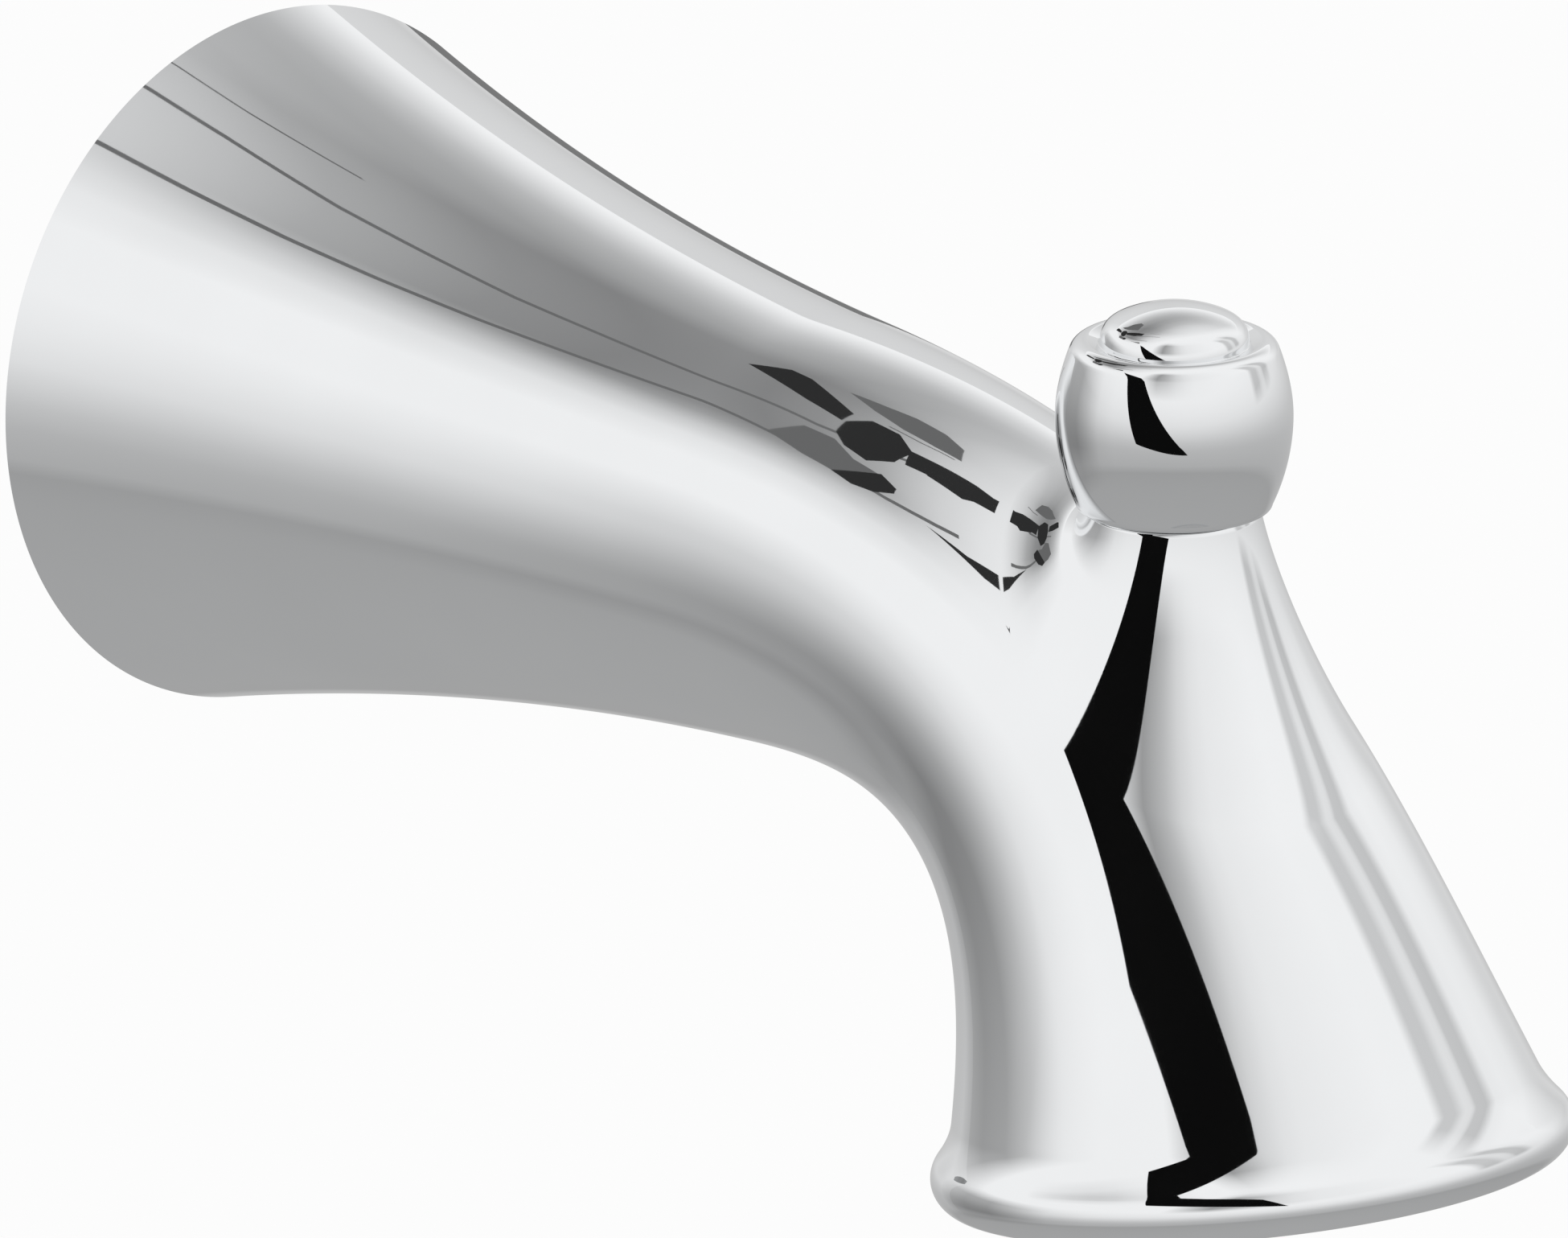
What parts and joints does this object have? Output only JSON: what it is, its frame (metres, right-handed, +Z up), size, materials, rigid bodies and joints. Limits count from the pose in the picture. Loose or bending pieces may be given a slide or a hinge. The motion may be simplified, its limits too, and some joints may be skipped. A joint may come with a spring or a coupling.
{
  "type": "bath spout",
  "caption": "Chrome bath spout with a round wall flange, a bell-shaped outlet and a pull-up diverter knob that slides in a neck on the elbow and lifts a gate inside.",
  "frame": {"origin": "centre of the flange's back face, where the pipe axis meets the wall", "axes": "+Y out of the back towards the wall, -Y along the spout's reach, +Z up"},
  "size_m": [0.07, 0.1743, 0.0908],
  "materials": {
    "chrome_plate": "polished",
    "steel": "brushed",
    "brass": "turned",
    "black_rubber": "matt",
    "grey_rubber": "matt",
    "white_plastic": "moulded",
    "grey_plastic": "moulded"
  },
  "bodies": {
    "spout": {"spout_body": "chrome_plate", "stem_bushing": "brass", "stem_o_ring": "black_rubber", "diverter_housing": "grey_plastic", "gate_guide": "grey_plastic", "housing_o_ring": "black_rubber", "housing_screws": "steel", "inlet_tube": "white_plastic", "tube_o_ring": "black_rubber", "inlet_collar": "brass", "inlet_o_ring_rear": "black_rubber", "inlet_o_ring_front": "black_rubber", "set_screw": "steel", "inlet_bracket": "grey_plastic", "bracket_screws": "steel", "wall_gasket": "grey_rubber"},
    "diverter": {"diverter_knob": "chrome_plate", "lift_rod": "steel", "diverter_gate": "white_plastic", "gate_seal": "black_rubber", "rod_collar": "brass", "rod_nut": "brass"}
  },
  "joints": [
    {"name": "diverter_lift", "type": "slide", "parent": "spout", "child": "diverter", "axis": [0, 0, 1], "range_m": [0, 0.011]}
  ]
}
